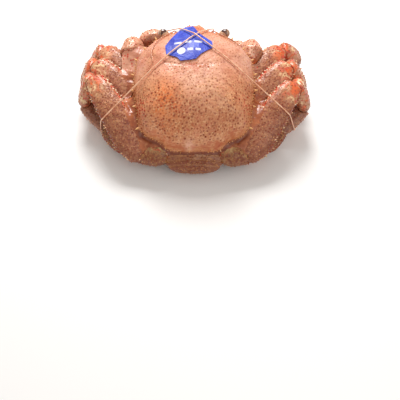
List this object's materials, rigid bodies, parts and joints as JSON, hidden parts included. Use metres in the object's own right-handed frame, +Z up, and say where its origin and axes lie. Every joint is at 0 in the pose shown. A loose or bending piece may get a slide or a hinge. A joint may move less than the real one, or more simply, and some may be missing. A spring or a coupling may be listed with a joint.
{
  "type": "boiled horsehair crab with folded, tied legs",
  "caption": "Life-size still model of a cooked horsehair crab, legs and claws folded in and tied with elastic, a plain label on its shell.",
  "frame": {"origin": "middle of the crab's outline, on the floor that its folded legs rest on", "axes": "+X towards the crab's right, +Y towards its front, +Z up"},
  "size_m": [0.2254, 0.1446, 0.0915],
  "materials": {
    "shell": "satin",
    "leg_shell": "satin",
    "underside": "satin",
    "claw_shell": "satin",
    "eye": "gloss",
    "label": "semi-gloss",
    "elastic": "semi-gloss"
  },
  "bodies": {
    "root": {"antenna_left": "leg_shell", "antenna_right": "leg_shell", "breast": "underside", "carapace": "shell", "claw_left_arm": "leg_shell", "claw_left_finger": "claw_shell", "claw_left_palm": "claw_shell", "claw_left_wrist": "leg_shell", "claw_right_arm": "leg_shell", "claw_right_finger": "claw_shell", "claw_right_palm": "claw_shell", "claw_right_wrist": "leg_shell", "eye_left": "eye", "eye_right": "eye", "label": "label", "leg_left_2_hand": "underside", "leg_left_2_toe": "underside", "leg_left_2_upper": "leg_shell", "leg_left_2_wrist": "leg_shell", "leg_left_3_hand": "underside", "leg_left_3_toe": "underside", "leg_left_3_upper": "leg_shell", "leg_left_3_wrist": "leg_shell", "leg_left_4_hand": "underside", "leg_left_4_toe": "underside", "leg_left_4_upper": "leg_shell", "leg_left_4_wrist": "leg_shell", "leg_left_5_hand": "underside", "leg_left_5_toe": "underside", "leg_left_5_upper": "leg_shell", "leg_left_5_wrist": "leg_shell", "leg_right_2_hand": "underside", "leg_right_2_toe": "underside", "leg_right_2_upper": "leg_shell", "leg_right_2_wrist": "leg_shell", "leg_right_3_hand": "underside", "leg_right_3_toe": "underside", "leg_right_3_upper": "leg_shell", "leg_right_3_wrist": "leg_shell", "leg_right_4_hand": "underside", "leg_right_4_toe": "underside", "leg_right_4_upper": "leg_shell", "leg_right_4_wrist": "leg_shell", "leg_right_5_hand": "underside", "leg_right_5_toe": "underside", "leg_right_5_upper": "leg_shell", "leg_right_5_wrist": "leg_shell", "maxilliped_left": "underside", "maxilliped_right": "underside", "tail_base": "underside", "tail_flap": "underside", "tie_left": "elastic", "tie_right": "elastic"}
  },
  "joints": []
}
